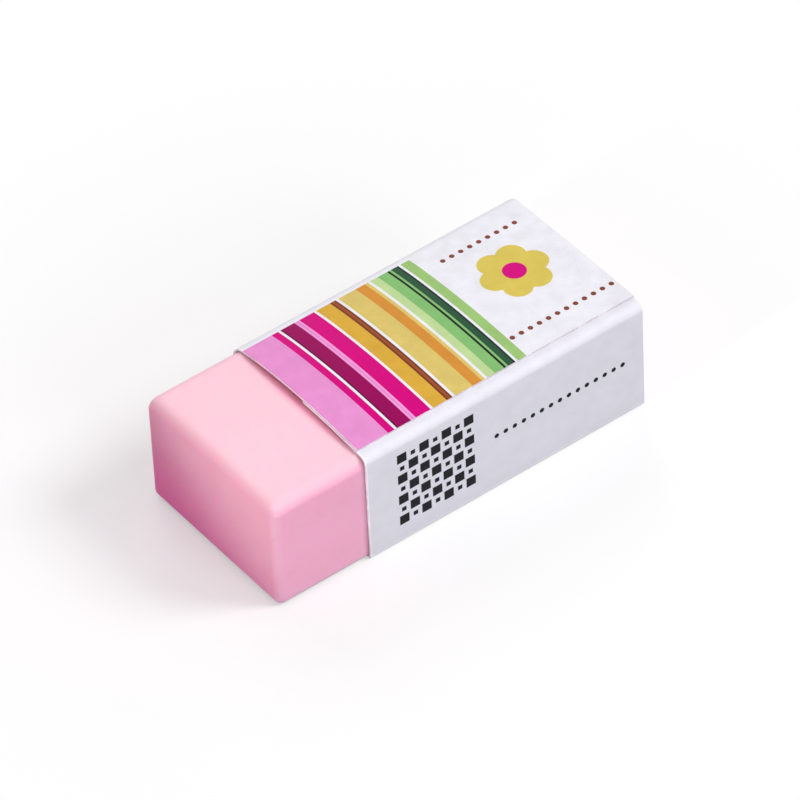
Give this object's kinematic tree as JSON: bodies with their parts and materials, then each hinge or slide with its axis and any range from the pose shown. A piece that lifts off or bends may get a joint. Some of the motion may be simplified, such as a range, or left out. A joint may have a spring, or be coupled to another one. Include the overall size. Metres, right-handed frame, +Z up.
{
  "type": "rubber eraser",
  "caption": "Soft pink rubber eraser block in a folded card sleeve with coloured stripes; the rubber slides in the sleeve.",
  "frame": {"origin": "middle of the base, on the surface that the eraser lies on", "axes": "+X runs along the length, from the bare rubber end to the sleeve's far end; -Y is the side beside the glued seam; +Z is up"},
  "size_m": [0.0402, 0.0191, 0.0127],
  "materials": {
    "rubber": "soft matte vinyl rubber, slightly translucent, with a faint sheen on the rounded edges",
    "card": "smooth coated white card with a satin varnish, printed with coloured stripes"
  },
  "bodies": {
    "sleeve": {"card_sleeve": "card"},
    "rubber": {"rubber_block": "rubber"}
  },
  "joints": [
    {"name": "rubber_slide", "type": "slide", "parent": "sleeve", "child": "rubber", "axis": [-1, 0, 0], "range_m": [-0.0097, 0.01]}
  ]
}
